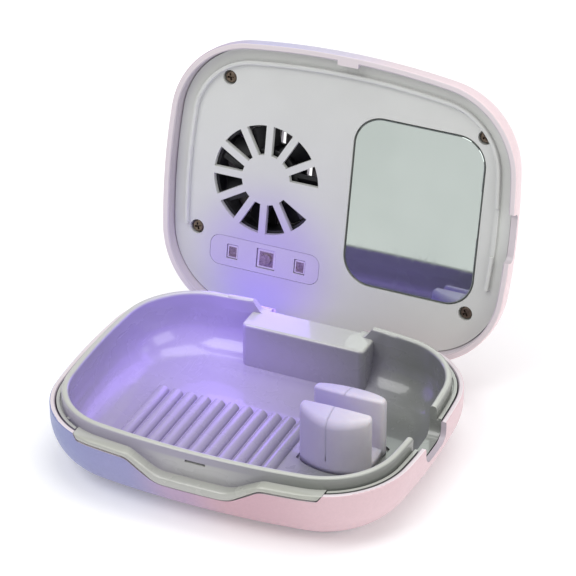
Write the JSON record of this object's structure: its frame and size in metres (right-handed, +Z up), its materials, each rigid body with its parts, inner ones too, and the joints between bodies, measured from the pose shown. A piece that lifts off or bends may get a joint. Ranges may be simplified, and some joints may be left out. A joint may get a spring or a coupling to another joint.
{
  "type": "toothbrush sanitizer",
  "caption": "Portable clamshell toothbrush sanitizer with a removable tray, a soft brush clip, and a hinged lid holding UV lamps, a drying fan and a mirror.",
  "frame": {"origin": "middle of the resting face under the case", "axes": "+X along the case towards the handle notch, +Y towards the hinge, +Z up; lid open"},
  "size_m": [0.096, 0.1059, 0.0834],
  "materials": {
    "case_shell": "satin soft-touch, lavender at one end and pink at the other",
    "pad_silicone": "matt silicone",
    "tray_grey": "semi-gloss moulded, fine rubbing marks",
    "clip_silicone": "matt soft silicone",
    "steel": "turned",
    "plate_white": "fine spark-eroded texture",
    "screw_nickel": "dark nickel plated",
    "mirror_glass": "polished",
    "foam_tape": "foam",
    "foam_strip": "open-cell foam",
    "fan_black": "moulded black",
    "magnet": "sintered",
    "bearing_bronze": "sintered bronze",
    "core_steel": "laminated",
    "coil_copper": "enamelled winding",
    "board_green": "solder mask",
    "board_white": "white solder mask",
    "lamp_cover": "frosted white",
    "lamp_package": "ceramic package with a clear lens",
    "chip_black": "moulded resin",
    "key_white": "satin",
    "light_guide": "translucent",
    "battery_pouch": "laminated pouch",
    "lead_red": "insulated wire",
    "lead_black": "insulated wire"
  },
  "bodies": {
    "base": {"base_shell": "case_shell", "rest_pad": "pad_silicone", "weight_plate": "steel", "tray": "tray_grey", "brush_clip": "clip_silicone", "hinge_pin": "steel"},
    "lid": {"lid_shell": "case_shell", "inner_plate": "plate_white", "lid_screws": "screw_nickel", "mirror": "mirror_glass", "mirror_tape": "foam_tape", "fan_housing": "fan_black", "fan_bearing": "bearing_bronze", "fan_stator": "core_steel", "fan_coils": "coil_copper", "fan_board": "board_green", "led_cover": "lamp_cover", "led_board": "board_white", "uvc_led": "lamp_package", "uva_leds": "lamp_package", "main_board": "board_green", "board_screws": "steel", "board_chips": "chip_black", "power_switch": "chip_black", "light_ring": "light_guide", "charge_board": "board_green", "usb_port": "steel", "usb_tongue": "chip_black", "battery": "battery_pouch", "battery_foam": "foam_strip", "battery_leads": "lead_red", "fan_leads": "lead_black"},
    "fan_rotor": {"fan_impeller": "fan_black", "fan_shaft": "steel", "fan_magnet": "magnet"},
    "power_key": {"power_button": "key_white", "switch_plunger": "plate_white"}
  },
  "joints": [
    {"name": "lid_hinge", "type": "hinge", "parent": "base", "child": "lid", "pos_m": [0, 0.0352, 0.012], "axis": [-1, 0, 0], "range_deg": [-101.6, 0]},
    {"name": "fan_spin", "type": "hinge", "parent": "lid", "child": "fan_rotor", "pos_m": [-0.0208, 0.05517, 0.04465], "axis": [0, 0.9796, -0.2011], "continuous": true},
    {"name": "power_press", "type": "slide", "parent": "lid", "child": "power_key", "axis": [0, -0.9796, 0.2011], "range_m": [0, 0.0004], "stiffness_N_per_m": 300, "springref_m": -0.0005}
  ]
}
